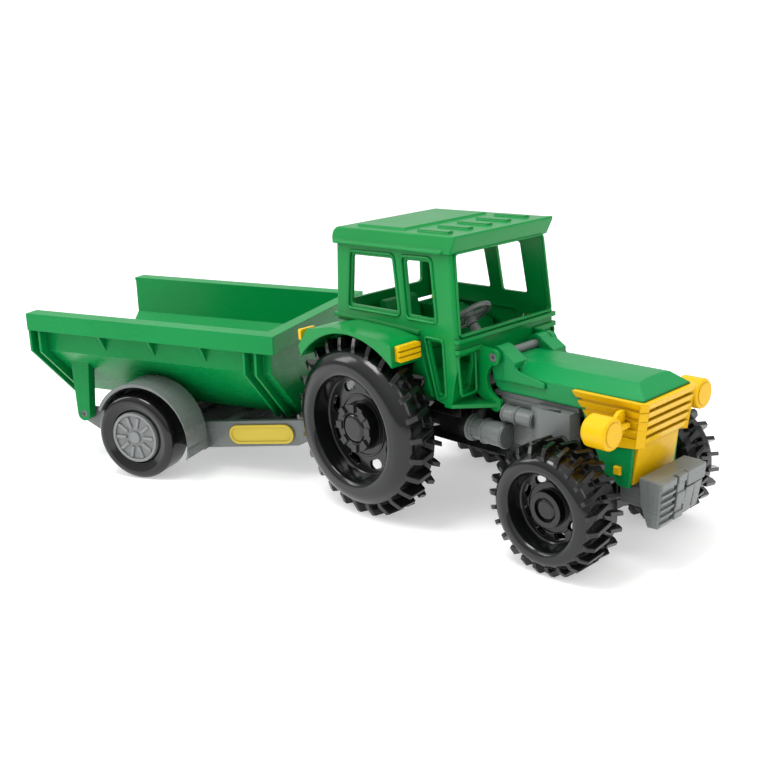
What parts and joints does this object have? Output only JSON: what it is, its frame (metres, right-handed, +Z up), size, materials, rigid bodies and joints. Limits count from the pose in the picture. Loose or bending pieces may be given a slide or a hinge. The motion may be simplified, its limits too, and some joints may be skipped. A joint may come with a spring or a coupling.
{
  "type": "toy tractor",
  "caption": "Toy farm tractor with open cab, lifting hood, lugged wheels and ballast block, towing a two-wheeled tipping trailer turned on its tow pin.",
  "frame": {"origin": "on the ground under the middle of the rear axle", "axes": "+X towards the tractor's nose, +Y to its left, +Z up; the trailer stands turned 24 degrees on its tow pin"},
  "size_m": [0.5396, 0.2526, 0.1939],
  "materials": {
    "green_plastic": "satin gloss injection moulding",
    "hood_green": "satin injection moulding, a touch bluer",
    "tub_green": "satin gloss injection moulding",
    "yellow_plastic": "satin gloss",
    "grey_plastic": "silvery grey, satin",
    "hub_grey": "light grey, satin",
    "black_plastic": "satin gloss black",
    "tyre_plastic": "smooth glossy black",
    "badge_yellow": "printed label, plain",
    "steel": "plain steel wire"
  },
  "bodies": {
    "tractor": {"chassis": "black_plastic", "engine": "grey_plastic", "front_weight": "grey_plastic", "cab_shell": "green_plastic", "cab_roof": "green_plastic", "fender_right": "green_plastic", "fender_left": "green_plastic", "cab_tray": "green_plastic", "seat": "green_plastic", "steering_column": "grey_plastic", "front_marker_right": "yellow_plastic", "front_marker_left": "yellow_plastic", "rear_marker_right": "yellow_plastic", "rear_marker_left": "yellow_plastic", "hood_pin": "grey_plastic", "tow_pin": "grey_plastic"},
    "hood": {"hood": "hood_green", "grille": "yellow_plastic", "headlight_right": "yellow_plastic", "headlight_left": "yellow_plastic"},
    "steering": {"steering_wheel": "grey_plastic"},
    "rear_wheels": {"rear_axle": "steel", "rear_wheel_right_outer": "black_plastic", "rear_wheel_right_inner": "black_plastic", "rear_wheel_right_hub_cap": "black_plastic", "rear_wheel_left_outer": "black_plastic", "rear_wheel_left_inner": "black_plastic", "rear_wheel_left_hub_cap": "black_plastic"},
    "front_wheels": {"front_axle": "steel", "front_wheel_right_outer": "black_plastic", "front_wheel_right_inner": "black_plastic", "front_wheel_right_hub_cap": "black_plastic", "front_wheel_left_outer": "black_plastic", "front_wheel_left_inner": "black_plastic", "front_wheel_left_hub_cap": "black_plastic"},
    "trailer": {"trailer_chassis": "grey_plastic", "badge_right": "badge_yellow", "badge_left": "badge_yellow", "tipping_pin_right": "grey_plastic", "tipping_pin_left": "grey_plastic"},
    "tub": {"tub": "tub_green"},
    "trailer_wheels": {"trailer_axle": "steel", "trailer_wheel_right": "tyre_plastic", "trailer_wheel_left": "tyre_plastic", "trailer_hub_cap_right": "hub_grey", "trailer_hub_cap_left": "hub_grey"}
  },
  "joints": [
    {"name": "rear_wheels_spin", "type": "hinge", "parent": "tractor", "child": "rear_wheels", "pos_m": [0, 0, 0.0625], "axis": [0, 1, 0], "continuous": true},
    {"name": "front_wheels_spin", "type": "hinge", "parent": "tractor", "child": "front_wheels", "pos_m": [0.151, 0, 0.04], "axis": [0, 1, 0], "continuous": true},
    {"name": "hood_lift", "type": "hinge", "parent": "tractor", "child": "hood", "pos_m": [0.086, 0, 0.115], "axis": [0, -1, 0], "range_deg": [0, 50]},
    {"name": "steering_turn", "type": "hinge", "parent": "tractor", "child": "steering", "pos_m": [0.0395, 0, 0.1295], "axis": [-0.6428, 0, 0.766], "continuous": true},
    {"name": "trailer_yaw", "type": "hinge", "parent": "tractor", "child": "trailer", "pos_m": [-0.0755, 0, 0.05], "axis": [0, 0, 1], "range_deg": [-59, 11]},
    {"name": "tub_tip", "type": "hinge", "parent": "trailer", "child": "tub", "pos_m": [-0.27876, -0.0905, 0.04], "axis": [0.4067, -0.9135, 0], "range_deg": [0, 45]},
    {"name": "trailer_wheels_spin", "type": "hinge", "parent": "trailer", "child": "trailer_wheels", "pos_m": [-0.21801, -0.06345, 0.0335], "axis": [-0.4067, 0.9135, 0], "continuous": true}
  ]
}
